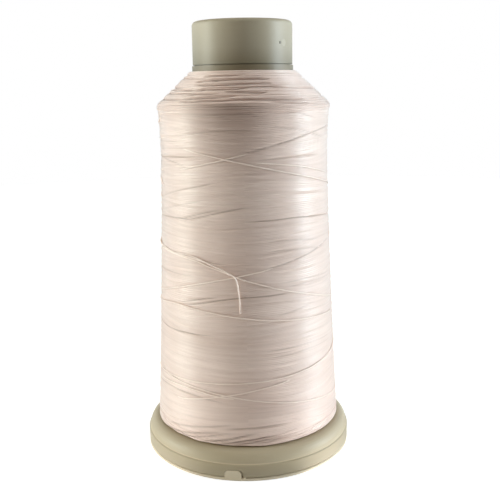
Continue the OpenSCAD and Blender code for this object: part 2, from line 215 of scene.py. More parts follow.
# How deep a tight turn's groove is, and its half width. Threads that stand
# out lie in a shallower one
TIGHT_DEPTH = 0.5 * MM
TIGHT_W = 0.24 * MM
BED_DEPTH = 0.2 * MM
BED_W = 0.4 * MM
# How fast a turn's ends dive into the package, in degrees, and how many thread radii
# deep they go
DIVE_ANGLE = 14
DIVE_DEPTH = 2.6
# Angle to each side over which a thread bridges what it rests on
BRIDGE_ANGLE = 5
# The record of what lies on the side: how many angles, steps of height, and steps
# to spare over the top
GROUND_ANGLES = 720
GROUND_STEP = 0.05 * MM
GROUND_SPARE = 40

# ---- Turns on the shoulder -----------------------------------------------

# Gaps between the ridges on the shoulder, each open between its ends: how
# deep, from 0 to 1, then angle in degrees and height in mm
SHOULDER_GAPS = [
    (0.4, [(-40, 145.6), (-28, 145.7), (-12, 145.9), (4, 146.1)]),
    (1.0, [(-44, 143.6), (-34, 144.1), (-26, 144.3), (-4, 144.6), (10, 144.7), (24, 144.4)]),
    (0.7, [(-44, 142.7), (-24, 142.6), (-4, 142.8), (9, 143.0), (24, 142.8)]),
    (1.0, [(-50, 140.7), (-36, 140.9), (-29, 141.2), (-16, 141.2), (-4, 141.3), (8, 141.9)]),
    (0.55, [(-9, 141.2), (2, 141.8), (8, 141.9), (22, 141.9), (36, 141.4)]),
    (0.6, [(-13, 140.0), (-4, 140.1), (8, 139.9), (18, 139.8)]),
    (0.5, [(-50, 139.0), (-41, 139.3), (-34, 139.6), (-16, 139.8)]),
    (0.9, [(-46, 137.9), (-32, 138.2), (-20, 138.5), (-4, 138.8)]),
    (1.0, [(-48, 137.0), (-31, 137.2), (-14, 137.4), (2, 137.7), (12, 137.6), (44, 137.2)]),
    (0.4, [(14, 136.6), (28, 136.4), (46, 136.0)]),
]
# More of them at chance places: angle of the middle and half the angle they span, in
# mm their height, how far the ends lean and how far the middle is off, and levels
MORE_SHOULDER_GAPS = 26
GAP_MIDDLE = (50, 310)
GAP_HALF = (18, 55)
GAP_HEIGHT = (137.6, 146.6)
GAP_LEAN = 0.4
GAP_BEND = 0.2
GAP_LEVELS = (0.2, 0.7)
# Half width and depth of a gap, and how it opens: the smaller the exponent, the sooner
GAP_W = 0.5 * MM
GAP_DEPTH = 1.8 * MM
GAP_EXPONENT = 0.7
# How far the ridges stand out, and over what lengths they fade out at both ends of
# the slope
RIDGE_H = 0.2 * MM
RELIEF_START = 1.6 * MM
RELIEF_END = 1.0 * MM
# Spacing of the shoulder's turns, where the first and last lie, and their points
SHOULDER_PITCH = 0.51 * MM
SHOULDER_FIRST = 0.5 * MM
SHOULDER_LAST = 0.35 * MM
SHOULDER_COLUMNS = 180
# How far they drift along the slope, and the waves of that
DRIFT = 0.07 * MM
DRIFT_WAVES = (4, (1, 2), 4)
# How many thread radii they stand out, and how many less at the edge, over what length
RIDGE_LIFT = 0.35
EDGE_SINK = 0.5
EDGE_SINK_REACH = 3 * MM
# The plain slope under them: its rows, and how much deeper it lies
SHOULDER_ROWS = 48
SLOPE_SINK = 0.1 * MM

# ---- Colours and gloss ---------------------------------------------------

# Painted shade under the shoulder's edge, at the front: where it is darkest, how far
# it reaches along X, Y and Z, and up to what height
UNDER_EDGE_SHADE_PLACE = (-5 * MM, -31.5 * MM, 137 * MM)
UNDER_EDGE_SHADE_REACH = (19 * MM, 30 * MM, 24 * MM)
UNDER_EDGE_SHADE_TOP = SHOULDER_Z + 1.2 * MM
UNDER_EDGE_SHADE_TINT = (0.39, 0.315, 0.275, 1)
# Dust and painted shade darken the gaps between turns, less so on the side, and dust makes them
# dull
GAP_DUST_AND_SHADE_TINT = (0.23, 0.155, 0.105, 1)
SIDE_DUST_AND_SHADE = 0.55
GAP_ROUGH = 0.5
# How much of the thread is coated with wax
WAX = 0.7
# The rest of its gloss: a thin coat and the soft sheen of its fibres
THREAD_GLOSS = {"Specular IOR Level": 0.8, "Coat Roughness": 0.3, "Sheen Weight": 0.45,
                "Sheen Roughness": 0.4, "Sheen Tint": (1.0, 0.97, 0.95, 1)}
# Pale, warm and deep colours of the wound thread, and of the threads laid on it, which
# are the same thread painted paler: painted light
WOUND_COLOURS = ((0.905, 0.715, 0.63, 1), (0.895, 0.68, 0.59, 1), (0.745, 0.555, 0.475, 1))
LOOSE_COLOURS = ((0.99, 0.83, 0.735, 1), (0.98, 0.81, 0.715, 1), (0.93, 0.74, 0.645, 1))
# Warm patches over the package: scale, detail and roughness of their noise, and what
# of it shows
PATCH_NOISE = (26.0, 2.0, 0.6)
PATCH_SHOWN = [(0.38, 0.0), (0.64, 1.0)]
# Deep streaks along the turns: how the thread map is stretched for them, their noise,
# what of it shows, and the roughness that it gives between two values
STREAK_STRETCH = (24.0, 0.7, 0.0)
STREAK_NOISE = (1.0, 3.0, 0.7)
STREAK_SHOWN = [(0.36, 0.0), (0.66, 1.0)]
STREAK_RANGE = (0.3, 0.7)
STREAK_ROUGH = (0.36, 0.52)
# How much of the deep colour lies between the plies, and how fine their fibres are
VALLEY_SHADE = 0.35
FIBRE_NOISE = (1.0, 1.0)
FIBRES_PER_PLY = 9.0
FIBRES_PER_METRE = 700.0

# ---- Foot of the package -------------------------------------------------

# How far the package's foot draws in over the flange, and over what height
FOOT_TUCK = 1.2 * MM
FOOT_TUCK_H = 0.42 * MM
# Turns on the foot of the package, and how many thread radii they are pressed in
FOOT_SINK = 1.6
# Nearly level rings: their heights over the flange, from and to what angle they run,
# and how far they wander
FOOT_RINGS = 3
FIRST_RING_Z = 0.62 * MM
RING_PITCH = 1.2 * MM
RING_ANGLES = (-10.0, 372.0)
RING_WANDER = 0.25 * MM
RING_WAVES = (3, (1, 2), 4)
# Loops: lowest height and climb in mm, half the angle they span, how far they stray
# from even places, and how they curve
FOOT_LOOPS = 9
LOOP_LOWEST = (0.4, 4.2)
LOOP_CLIMB = (4.5, 8.5)
LOOP_HALF = (50, 95)
LOOP_STRAY = 0.3
LOOP_EXPONENT = 1.5

# ---- Plastic pieces ------------------------------------------------------

# Tints of the plastic by height, which are painted light and shade. The collar has painted
# shade down at the thread, the stop ring more so; the flange has painted shade near the
# thread, a painted highlight along its crease, and painted shade under it
COLLAR_PAINTED_SHADE = [(150 * MM, (0.51, 0.5, 0.45)), (156 * MM, 0.82), (163 * MM, 0.97),
                 (166 * MM, 0.97)]
BARREL_PAINTED_SHADE = [(147 * MM, (0.5, 0.47, 0.4)), (151 * MM, (0.5, 0.47, 0.4)), (152 * MM, 1.0)]
CREASE_Z = 6.45 * MM
# Painted shade near the thread, a painted highlight along the crease, and painted shade under it
FLANGE_PAINTED_LIGHT_AND_SHADE = [(0, 0.84), (2.6 * MM, 0.84), (CREASE_Z - 0.1 * MM, (0.87, 0.86, 0.83)),
                 (CREASE_Z + 0.1 * MM, 1.3), (CREASE_Z + 0.3 * MM, 1.1),
                 (CREASE_Z + 0.6 * MM, 1.0), (10.4 * MM, 0.98), (11 * MM, 0.88),
                 (11.28 * MM, (0.74, 0.72, 0.68))]
# The mark that the mould's gate left on the collar: a pip, and a pale patch
# beside it
GATE_Z = 157.6 * MM
GATE_PIP = (math.radians(46.5), 0.55 * MM, 0.14 * MM)
GATE_PATCH = (math.radians(52.5), 1.35 * MM, 0.03 * MM)
# Its profile from the edge inwards: share of its size, share of its height
GATE_PROFILE = [(1.0, -1.0), (0.97, 0.3), (0.86, 0.85), (0.7, 1.0), (0.35, 1.0)]
GATE_SIDES = 24
# The moulded plastics: colour, colour of its clouds, scale of the grain, how marked by
# handling, depth of the grain, and painted light and shade by height
GREY = ((0.425, 0.36, 0.255, 1), (0.456, 0.386, 0.276, 1))
PLASTICS = {
    "collar_plastic": (*GREY, 2600.0, 0.1, 0.012 * MM, COLLAR_PAINTED_SHADE),
    "barrel_plastic": (*GREY, 2600.0, 0.14, 0.012 * MM, BARREL_PAINTED_SHADE),
    "flange_plastic": ((0.485, 0.40, 0.27, 1), (0.52, 0.43, 0.295, 1), 2200.0, 0.16,
                       0.015 * MM, FLANGE_PAINTED_LIGHT_AND_SHADE),
    "ring_plastic": ((0.72, 0.61, 0.45, 1), (0.76, 0.65, 0.49, 1), 2400.0, 0.12, 0.012 * MM),
    "gate_plastic": ((0.42, 0.365, 0.267, 1), (0.46, 0.395, 0.29, 1), 3000.0, 0.1, 0.008 * MM),
    "pip_plastic": ((0.17, 0.14, 0.095, 1), (0.2, 0.165, 0.11, 1), 3000.0, 0.1, 0.008 * MM),
}
NODE_PLASTICS = {"top_collar": "collar_plastic", "core_barrel": "barrel_plastic",
                 "base_flange": "flange_plastic", "lock_ring": "ring_plastic"}
# Clouds and grain in the plastic: scale, detail and roughness of their noise, and what
# of it shows. The grain's scale is each plastic's own
CLOUD_NOISE = (45.0, 3.0)
CLOUD_SHOWN = [(0.35, 0.0), (0.68, 1.0)]
GRAIN_NOISE = (2.0, 0.55)
# Handling marks, which are thin and run around the spool: stretch, noise, what of it
# shows, and colour
MARK_STRETCH = (160.0, 160.0, 1900.0)
MARK_NOISE = (1.0, 4.0, 0.65)
MARK_SHOWN = [(0.5, 0.0), (0.8, 1.0)]
MARK_TINT = (0.55, 0.51, 0.42, 1)
# Roughness of the plastic, what grain and marks add to it, and the marks' height
PLASTIC_ROUGH = 0.37
GRAIN_ROUGH = 0.14
MARK_ROUGH = 0.2
MARK_RELIEF = 0.6

# ---- The loose end -------------------------------------------------------

# Its places: angle in degrees, height in mm, and how many threads it lies above the side
TAIL_POINTS = [(-50, 82.5, 0), (-44, 82.7, 0), (-38, 82.5, 0), (-32, 81.9, 0),
               (-26, 80.9, 0.3), (-20, 79.7, 0.8), (-14, 78.3, 1.4), (-10, 77.2, 1.9),
               (-7.5, 76.3, 2.1), (-6, 75.2, 2.2), (-5.2, 73.8, 2.1), (-4.8, 72.2, 1.7),
               (-4.5, 70.5, 1.1), (-4.2, 68.5, 0.5), (-4, 66.3, 0.1), (-3.8, 64.2, 0),
               (-3.8, 62.4, 0)]
# Steps between two places, and sides
TAIL_STEPS = 24
TAIL_SIDES = 18
# The thread's plies, the length of their twist, and how deep it is on the loose end,
# as a share of the radius
PLIES = 3
PLY_LAY = 2.6 * MM
PLY_RELIEF = 0.1

# ---- Camera, floor and tent ----------------------------------------------

CAMERA_PLACE = Vector((0, -295.3, 143.0)) * MM
CAMERA_LENS = 54.5
CAMERA_SENSOR = 36
CAMERA_CLIP = 5 * MM
CAMERA_PITCH = math.radians(12.35)
CAMERA_YAW = math.radians(0.34)
CAMERA_ROLL = math.radians(-0.86)
WHITE = (1, 1, 1, 1)
# The floor: its radius and sides, and how far it lies under the spool
FLOOR_R = 900 * MM
FLOOR_SIDES = 96
FLOOR_DROP = 0.02 * MM
# It is white, and dims towards the front outside of a radius: fully where Y is under
# the first of two shares of the radius, and not at all where it is over the second
FLOOR_WHITE = (0.85, 0.85, 0.84, 1)
FLOOR_DIM = (0.25, 0.25, 0.25, 1)
FLOOR_BRIGHT_R = 90 * MM
FLOOR_FRONT = (-0.97, -0.7)
# What the camera sees of it: grey paper that takes the shadow, and a glow
FLOOR_PAPER = (0.5, 0.5, 0.5, 1)
FLOOR_GLOW = 0.75
# Brightness and tint of the tent, and brightness of the floor, by the angle from the
# front in degrees
WARM = np.array((1.08, 1.0, 0.88))
SOFT = np.array((0.93, 1.0, 0.93))
PLAIN = np.array((0.98, 1.0, 1.0))
COOL = np.array((0.84, 1.0, 1.08))
TENT_ROUND = [(-180, 0.5 * COOL), (-150, 0.6 * COOL), (-124, 1.8 * COOL), (-108, 0.7 * PLAIN),
              (-97, 5.6 * SOFT), (-90, 11.2 * SOFT), (-79, 8.6 * SOFT), (-69, 0.5 * PLAIN),
              (-56, 0.2 * PLAIN), (-40, 0.9 * PLAIN), (-24, 0.25 * WARM), (0, 0.2 * WARM),
              (24, 0.15 * WARM), (46, 0.1 * WARM), (68, 0.0 * COOL), (79, 4.5 * COOL),
              (90, 19.0 * COOL), (98, 4.8 * PLAIN), (106, 2.4 * PLAIN), (122, 1.8 * COOL),
              (150, 0.8 * COOL), (180, 0.5 * COOL)]
FLOOR_ROUND = [(-180, 0), (-110, 0.1), (-75, 0.3), (-55, 0.5), (-40, 0.4), (-24, 0), (26, 0),
               (36, 0.8), (52, 0.9), (75, 0.25), (110, 0.1), (180, 0)]
# How strong the floor's brightness is, and between what radii it fades out
FLOOR_SHINE = 1.7
FLOOR_SHINE_R = (80 * MM, 230 * MM)
# Between what heights the tent's walls fade out and its roof sets in, from 0 at the
# horizon to 1 overhead, and the roof's brightness
TENT_FADE = (0.3, 0.72)
TENT_ROOF = (0.75, 0.98)
TENT_TOP = 1.0


# ---- Shape of the package ------------------------------------------------

def package_radius(z):
    """Radius of the full layer at a height: flared foot, waist, head, edge, shoulder."""
    z = np.asarray(z, float)
    below = np.clip((WAIST_Z - z) / (WAIST_Z - FOOT_Z), 0, None)
    above = np.clip((z - WAIST_Z) / (ROUND_START_Z - WAIST_Z), 0, None)
    side = (WAIST_R + (FOOT_R - WAIST_R) * below ** FLARE_EXPONENT
            + (HEAD_R - WAIST_R) * above ** 2)
    drop = np.clip(SHOULDER_ROUND ** 2 - (z - ROUND_START_Z) ** 2, 0, None)
    edge = HEAD_R - SHOULDER_ROUND + np.sqrt(drop)
    slope = HEAD_R - SHOULDER_SLOPE * (np.minimum(z, HEAD_Z) - SHOULDER_Z)
    return np.where(z >= ROUND_END_Z, slope, np.where(z >= ROUND_START_Z, edge, side))


def around(angle, radius, z):
    """Points at an angle in radians from the front, a radius and a height."""
    angle, radius, z = np.broadcast_arrays(angle, radius, z)
    return np.stack([radius * np.sin(angle), -radius * np.cos(angle), z], axis=-1)


# The shoulder is measured by the length along its slope, from just under the
# rounded edge to the stop ring
slope_heights = np.linspace(SHOULDER_START_Z, HEAD_Z, SLOPE_STEPS)
slope_radii = package_radius(slope_heights)
slope_steps = np.hypot(np.diff(slope_heights), np.diff(slope_radii))
slope_lengths = np.concatenate([[0], np.cumsum(slope_steps)])
SLOPE_LENGTH = slope_lengths[-1]
slope_tilts = np.arctan2(-np.gradient(slope_radii), np.gradient(slope_heights))


def slope_at(z):
    """Length along the shoulder at a height."""
    return np.interp(z, slope_heights, slope_lengths)


def shoulder_point(angle, along, lift):
    """A point on the shoulder, lifted square to its slope."""
    tilt = np.interp(along, slope_lengths, slope_tilts)
    radius = np.interp(along, slope_lengths, slope_radii) + lift * np.cos(tilt)
    z = np.interp(along, slope_lengths, slope_heights) + lift * np.sin(tilt)
    return around(angle, radius, z)


def soft_waves(rng, angle, height, waves, lengths, terms):
    """Smooth chance values around 0, the same after a full turn: a sum of so many terms,
    with so many waves around the spool at most, and lengths in height from a range."""
    total = np.zeros(np.broadcast(angle, height).shape)
    for _ in range(terms):
        count = rng.integers(-waves, waves + 1)
        length = rng.uniform(*lengths)
        total += np.sin(count * angle + TAU * height / length + rng.uniform(0, TAU))
    return total * math.sqrt(2 / terms)


def eased(x):
    """0 to 1 with a soft start and end."""
    x = np.clip(x, 0, 1)
    return x * x * (3 - 2 * x)


def between(angle, start, end):
    """1 between two angles in degrees, softly down to 0 at both."""
    return eased((angle - start) / DIVE_ANGLE) * eased((end - angle) / DIVE_ANGLE)


# ---- Meshes --------------------------------------------------------------

def finish_mesh(name, points, faces, thread_map, bake_map, material, depth=None):
    """An object from points, faces and two maps, one pair of numbers a corner. depth says
    how deep each point lies in a gap between turns, from 0 to 1."""
    mesh = bpy.data.meshes.new(name)
    mesh.from_pydata(points.tolist(), [], faces)
    for map_name, values in (("thread", thread_map), ("OFBake", bake_map)):
        layer = mesh.uv_layers.new(name=map_name)
        layer.data.foreach_set("uv", np.asarray(values, np.float32).ravel())
    if depth is not None:
        gap = mesh.attributes.new("gap", "FLOAT", "POINT")
        gap.data.foreach_set("value", np.asarray(depth, np.float32).ravel())
    mesh.shade_smooth()
    mesh.materials.append(material)
    piece = bpy.data.objects.new(name, mesh)
    bpy.context.scene.collection.objects.link(piece)
    return piece


def weld(piece, distance=1e-7):
    """Joins points that lie in one place."""
    work = bmesh.new()
    work.from_mesh(piece.data)
    bmesh.ops.remove_doubles(work, verts=work.verts, dist=distance)
    bmesh.ops.recalc_face_normals(work, faces=work.faces)
    work.to_mesh(piece.data)
    work.free()


def corners(first, second, third, fourth):
    """Values of the four corners of many faces, side by side."""
    return np.stack([first, second, third, fourth], axis=-1)


def ring_faces(count, sides, closed=False):
    """Faces between rings of points, and the ring and side that each starts at."""
    ring, side = np.meshgrid(np.arange(count if closed else count - 1), np.arange(sides),
                             indexing="ij")
    after, beside = (ring + 1) % count, (side + 1) % sides
    quads = corners(ring * sides + side, ring * sides + beside,
                    after * sides + beside, after * sides + side)
    return quads.reshape(-1, 4), ring, side


def unit(vectors):
    """Vectors of length 1."""
    return vectors / np.linalg.norm(vectors, axis=1)[:, None]


def thread_rings(path, sides, closed, plies):
    """Rings of points around a path that runs round the spool, and its length so far.
    Plies stand out of the rings as a twist."""
    if closed:
        ahead = unit(np.roll(path, -1, axis=0) - np.roll(path, 1, axis=0))
    else:
        ahead = unit(np.gradient(path, axis=0))
    side = unit(np.cross(ahead, unit(path * [1, 1, 0])))
    up = np.cross(side, ahead)
    steps = np.linalg.norm(np.diff(path, axis=0), axis=1)
    length = np.concatenate([[0], np.cumsum(steps)])
    turn = TAU * np.arange(sides) / sides
    size = np.full((len(path), sides), THREAD_R)
    if plies:
        ply = np.abs(np.cos(plies / 2 * (turn - TAU * length[:, None] / PLY_LAY)))
        size *= 1 - PLY_RELIEF + PLY_RELIEF * ply
    rings = (path[:, None] + size[..., None] * (side[:, None] * np.cos(turn)[:, None]
                                               + up[:, None] * np.sin(turn)[:, None]))
    return rings, length


def build_threads(name, paths, material, sides=THREAD_SIDES, closed=False, plies=0, depths=None):
    """One piece of several threads. The thread map has the length along the thread and the
    share around it; the bake map stacks the threads as strips. depths has one list for
    each path: how deep its points lie in a gap."""
    points, faces, thread_map, bake_map = [], [], [], []
    start = 0
    for index, path in enumerate(paths):
        rings, length = thread_rings(path, sides, closed, plies)
        points.append(rings.reshape(-1, 3))
        count = len(path)
        quads, ring, side = ring_faces(count, sides, closed)
        faces += (quads + start).tolist()
        whole = length[-1] * count / (count - 1) if closed else length[-1]
        reach = np.append(length, whole)
        u = corners(reach[ring], reach[ring], reach[ring + 1], reach[ring + 1])
        v = corners(side, side + 1, side + 1, side) / sides
        thread_map.append(np.stack([u, v + index], axis=-1).reshape(-1, 2))
        strip = v * (1 - 2 * STRIP_MARGIN) + STRIP_MARGIN + index
        bake_map.append(np.stack([u / whole, strip / len(paths)], axis=-1).reshape(-1, 2))
        if not closed:
            for end, order in ((0, range(sides - 1, -1, -1)), (count - 1, range(sides))):
                faces.append([start + end * sides + k for k in order])
                thread_map.append(np.array([[reach[end], index + 0.5]] * sides))
                spot = [end / (count - 1), (index + 0.5) / len(paths)]
                bake_map.append(np.array([spot] * sides))
        start += count * sides
    depth = None if depths is None else np.repeat(np.concatenate(depths), sides)
    return finish_mesh(name, np.concatenate(points), faces, np.concatenate(thread_map),
                       np.concatenate(bake_map), material, depth)


# ---- Shader helpers ------------------------------------------------------

def add(tree, kind, inputs=None, **settings):
    """A node with its settings and its inputs, which are values or sockets."""
    made = tree.nodes.new(kind)
    for name, value in settings.items():
        setattr(made, name, value)
    for name, value in (inputs or {}).items():
        if isinstance(value, bpy.types.NodeSocket):
            tree.links.new(value, made.inputs[name])
        else:
            made.inputs[name].default_value = value
    return made


def maths(tree, operation, *values):
    """The result of a Math node."""
    return add(tree, "ShaderNodeMath", dict(enumerate(values)), operation=operation).outputs[0]


def vector_maths(tree, operation, *values):
    """The result of a Vector Math node."""
    made = add(tree, "ShaderNodeVectorMath", dict(enumerate(values)), operation=operation)
    return made.outputs["Value" if operation == "LENGTH" else "Vector"]


def xyz(tree, vector):
    """The X, Y and Z of a vector."""
    return add(tree, "ShaderNodeSeparateXYZ", {0: vector}).outputs


def mixed(tree, factor, first, second, blend="MIX"):
    """Two colours mixed."""
    return add(tree, "ShaderNodeMix", {0: factor, 6: first, 7: second},
               data_type="RGBA", blend_type=blend).outputs[2]


def ranged(tree, value, start, end, first=0.0, last=1.0):
    """A value between start and end as one between first and last."""
    return add(tree, "ShaderNodeMapRange", {"Value": value, "From Min": start, "From Max": end,
                                            "To Min": first, "To Max": last}).outputs[0]


def noise(tree, place, scale, detail, roughness=0.5):
    """Cloudy chance values around 0.5."""
    return add(tree, "ShaderNodeTexNoise", {"Vector": place, "Scale": scale, "Detail": detail,
                                            "Roughness": roughness}).outputs[0]


def ramp(tree, value, stops):
    """A colour ramp with stops: place, then a brightness or a colour."""
    made = add(tree, "ShaderNodeValToRGB", {"Fac": value})
    made.color_ramp.elements[0].position = stops[0][0]
    made.color_ramp.elements[1].position = stops[-1][0]
    for place, _ in stops[1:-1]:
        made.color_ramp.elements.new(place)
    for element, (_, colour) in zip(made.color_ramp.elements, stops):
        element.color = (*np.broadcast_to(colour, 3), 1)
    return made.outputs["Color"]


def ramp_round(tree, vector, stops):
    """A colour ramp by the angle around the spool, in degrees from the front."""
    part = xyz(tree, vector)
    turn = maths(tree, "ARCTAN2", part["X"], maths(tree, "MULTIPLY", part["Y"], -1.0))
    return ramp(tree, maths(tree, "MULTIPLY_ADD", turn, 1 / TAU, 0.5),
                [(angle / 360 + 0.5, colour) for angle, colour in stops])


def bumped(tree, height, distance):
    """A normal from a height."""
    return add(tree, "ShaderNodeBump", {"Height": height, "Distance": distance,
                                        "Strength": 1.0}).outputs["Normal"]


def added(tree, first, second):
    """Two shaders added up."""
    return add(tree, "ShaderNodeAddShader", {0: first, 1: second}).outputs[0]


def seen_apart(tree, lights, seen):
    """One shader that lights the spool, and another that the camera sees."""
    path = add(tree, "ShaderNodeLightPath")
    return add(tree, "ShaderNodeMixShader", {0: path.outputs["Is Camera Ray"],
                                             1: lights, 2: seen}).outputs[0]


def bare_tree(owner):
    """The emptied node tree of a material or a world."""
    owner.use_nodes = True
    owner.node_tree.nodes.clear()
    return owner.node_tree


def new_group(name, inputs, outputs):
    """An empty node group with named sockets: name, then Color, Float or Vector."""
    group = bpy.data.node_groups.new(name, "ShaderNodeTree")
    for way, sockets in (("INPUT", inputs), ("OUTPUT", outputs)):
        for label, kind in sockets:
            group.interface.new_socket(label, in_out=way, socket_type=f"NodeSocket{kind}")
    given = group.nodes.new("NodeGroupInput").outputs
    return group, given, group.nodes.new("NodeGroupOutput").inputs


def new_material(name):
    """A material with a bare Principled shader."""
    material = bpy.data.materials.new(name)
    tree = bare_tree(material)
    shader = add(tree, "ShaderNodeBsdfPrincipled")
    add(tree, "ShaderNodeOutputMaterial", {"Surface": shader.outputs["BSDF"]})
    return material, tree, shader.inputs


# ---- Node groups ---------------------------------------------------------

def make_ply_twist():
    """Plies twisted together, on a map with length along the thread and share around it."""
    group, given, result = new_group(
        "ply_twist",
        [("Map", "Vector"), ("Lay", "Float"), ("Plies", "Float"), ("Fibre", "Float")],
        [("Height", "Float"), ("Valley", "Float")])
    place = xyz(group, given["Map"])
    turns = maths(group, "DIVIDE", place["X"], given["Lay"])
    phase = maths(group, "MULTIPLY", maths(group, "ADD", turns, place["Y"]), given["Plies"])
    ply = maths(group, "ABSOLUTE", maths(group, "SINE", maths(group, "MULTIPLY", phase, math.pi)))
    fibre_place = add(group, "ShaderNodeCombineXYZ", {
        "X": maths(group, "MULTIPLY", phase, FIBRES_PER_PLY),
        "Y": maths(group, "MULTIPLY", place["X"], FIBRES_PER_METRE)})
    loose = maths(group, "MULTIPLY", noise(group, fibre_place.outputs[0], *FIBRE_NOISE),
                  given["Fibre"])
    height = maths(group, "ADD", maths(group, "SQRT", ply), loose)
    group.links.new(height, result["Height"])
    group.links.new(maths(group, "SUBTRACT", 1.0, ply), result["Valley"])
    return group


def make_thread_tint():
    """Tint of wound thread: soft patches, turns that differ a little, painted shade under the
    shoulder's edge, and dust and painted shade in the gaps, where there is less wax too."""
    group, given, result = new_group(
        "thread_tint",
        [("Map", "Vector"), ("Pale", "Color"), ("Warm", "Color"), ("Deep", "Color"),
         ("Streaks", "Float")],
        [("Tint", "Color"), ("Roughness", "Float"), ("Wax", "Float")])
    place = add(group, "ShaderNodeTexCoord").outputs["Object"]
    # Mask of the painted shade under the shoulder's edge, at the front
    off = vector_maths(group, "SUBTRACT", place, UNDER_EDGE_SHADE_PLACE)
    far = vector_maths(group, "LENGTH", vector_maths(group, "DIVIDE", off, UNDER_EDGE_SHADE_REACH))
    below = maths(group, "LESS_THAN", xyz(group, place)["Z"], UNDER_EDGE_SHADE_TOP)
    under_edge_shade = maths(group, "MULTIPLY", ranged(group, far, 0.0, 1.0, 1.0, 0.0), below)
    gap = add(group, "ShaderNodeAttribute", attribute_name="gap").outputs["Fac"]
    patch = ramp(group, noise(group, place, *PATCH_NOISE), PATCH_SHOWN)
    along = vector_maths(group, "MULTIPLY", given["Map"], STREAK_STRETCH)
    turns = noise(group, along, *STREAK_NOISE)
    streak = maths(group, "MULTIPLY", ramp(group, turns, STREAK_SHOWN), given["Streaks"])
    tint = mixed(group, patch, given["Pale"], given["Warm"])
    tint = mixed(group, streak, tint, given["Deep"])
    # Painted shade under the shoulder's edge, then dust and painted shade in the gaps
    for share, colour in ((under_edge_shade, UNDER_EDGE_SHADE_TINT), (gap, GAP_DUST_AND_SHADE_TINT)):
        tint = mixed(group, share, tint, mixed(group, 1.0, tint, colour, "MULTIPLY"))
    group.links.new(tint, result["Tint"])
    rough = ranged(group, turns, *STREAK_RANGE, *STREAK_ROUGH)
    group.links.new(maths(group, "ADD", rough, maths(group, "MULTIPLY", gap, GAP_ROUGH)),
                    result["Roughness"])
    group.links.new(maths(group, "MULTIPLY_ADD", gap, -WAX, WAX), result["Wax"])
    return group


def make_moulded_plastic():
    """Moulded plastic: cloudy tint, fine grain, faint handling marks that run around."""
    group, given, result = new_group(
        "moulded_plastic",
        [("Base", "Color"), ("Cloud", "Color"), ("Grain Scale", "Float"), ("Marks", "Float")],
        [("Tint", "Color"), ("Roughness", "Float"), ("Height", "Float")])
    place = add(group, "ShaderNodeTexCoord").outputs["Object"]
    cloud = ramp(group, noise(group, place, *CLOUD_NOISE), CLOUD_SHOWN)
    grain = noise(group, place, given["Grain Scale"], *GRAIN_NOISE)
    rubs = noise(group, vector_maths(group, "MULTIPLY", place, MARK_STRETCH), *MARK_NOISE)
    marks = maths(group, "MULTIPLY", ramp(group, rubs, MARK_SHOWN), given["Marks"])
    tint = mixed(group, cloud, given["Base"], given["Cloud"])
    group.links.new(mixed(group, marks, tint, MARK_TINT), result["Tint"])
    rough = maths(group, "ADD", maths(group, "MULTIPLY", grain, GRAIN_ROUGH),
                  maths(group, "MULTIPLY_ADD", marks, MARK_ROUGH, PLASTIC_ROUGH))
    group.links.new(rough, result["Roughness"])
    group.links.new(maths(group, "MULTIPLY_ADD", marks, MARK_RELIEF, grain), result["Height"])
    return group


# ---- Materials -----------------------------------------------------------

def thread_material(name, colours, streaks, twist_depth, fibre):
    """Fine waxed thread, in three colours: pale, warm and deep."""
    material, tree, shader = new_material(name)
    pale, warm, deep = colours
    thread_map = add(tree, "ShaderNodeUVMap", uv_map="thread").outputs[0]
    tint = add(tree, "ShaderNodeGroup", {"Map": thread_map, "Pale": pale, "Warm": warm,
                                         "Deep": deep, "Streaks": streaks},
               node_tree=thread_tint).outputs
    twist = add(tree, "ShaderNodeGroup", {"Map": thread_map, "Lay": PLY_LAY, "Plies": PLIES,
                                          "Fibre": fibre}, node_tree=ply_twist).outputs
    shade = maths(tree, "MULTIPLY", twist["Valley"], VALLEY_SHADE)
    tree.links.new(mixed(tree, shade, tint["Tint"], deep), shader["Base Color"])
    tree.links.new(tint["Roughness"], shader["Roughness"])
    tree.links.new(tint["Wax"], shader["Coat Weight"])
    tree.links.new(bumped(tree, twist["Height"], twist_depth), shader["Normal"])
    for label, value in THREAD_GLOSS.items():
        shader[label].default_value = value
    return material


def plastic_material(name, base, cloud, grain_scale, marks, relief, painted_shading=()):
    """Satin moulded plastic, with painted light and shade by height: a height, then a tint."""
    material, tree, shader = new_material(name)
    plastic = add(tree, "ShaderNodeGroup", {"Base": base, "Cloud": cloud, "Marks": marks,
                                            "Grain Scale": grain_scale},
                  node_tree=moulded_plastic).outputs
    tint = plastic["Tint"]
    # Painted light and shade by height
    if painted_shading:
        low, high = painted_shading[0][0], painted_shading[-1][0]
        place = add(tree, "ShaderNodeTexCoord").outputs["Object"]
        share = ranged(tree, xyz(tree, place)["Z"], low, high)
        shade = ramp(tree, share, [((height - low) / (high - low), colour)
                                   for height, colour in painted_shading])
        tint = mixed(tree, 1.0, tint, shade, "MULTIPLY")
    tree.links.new(tint, shader["Base Color"])
    tree.links.new(plastic["Roughness"], shader["Roughness"])
    tree.links.new(bumped(tree, plastic["Height"], relief), shader["Normal"])
    return material


# ---- The package ---------------------------------------------------------

def chance_gaps(rng, count):
    """More gaps on the shoulder, mostly away from the front."""
    found = []
    for _ in range(count):
        middle = rng.uniform(*GAP_MIDDLE)
        half = rng.uniform(*GAP_HALF)
        height = rng.uniform(*GAP_HEIGHT)
        lean = rng.uniform(-GAP_LEAN, GAP_LEAN)
        bend = rng.uniform(-GAP_BEND, GAP_BEND)
        spots = [(middle - half, height - lean), (middle, height + bend),
                 (middle + half, height + lean)]
        found.append((rng.uniform(*GAP_LEVELS), spots))
    return found


shoulder_gaps = SHOULDER_GAPS + chance_gaps(np.random.default_rng(WINDING_SEED + 1),
                                            MORE_SHOULDER_GAPS)


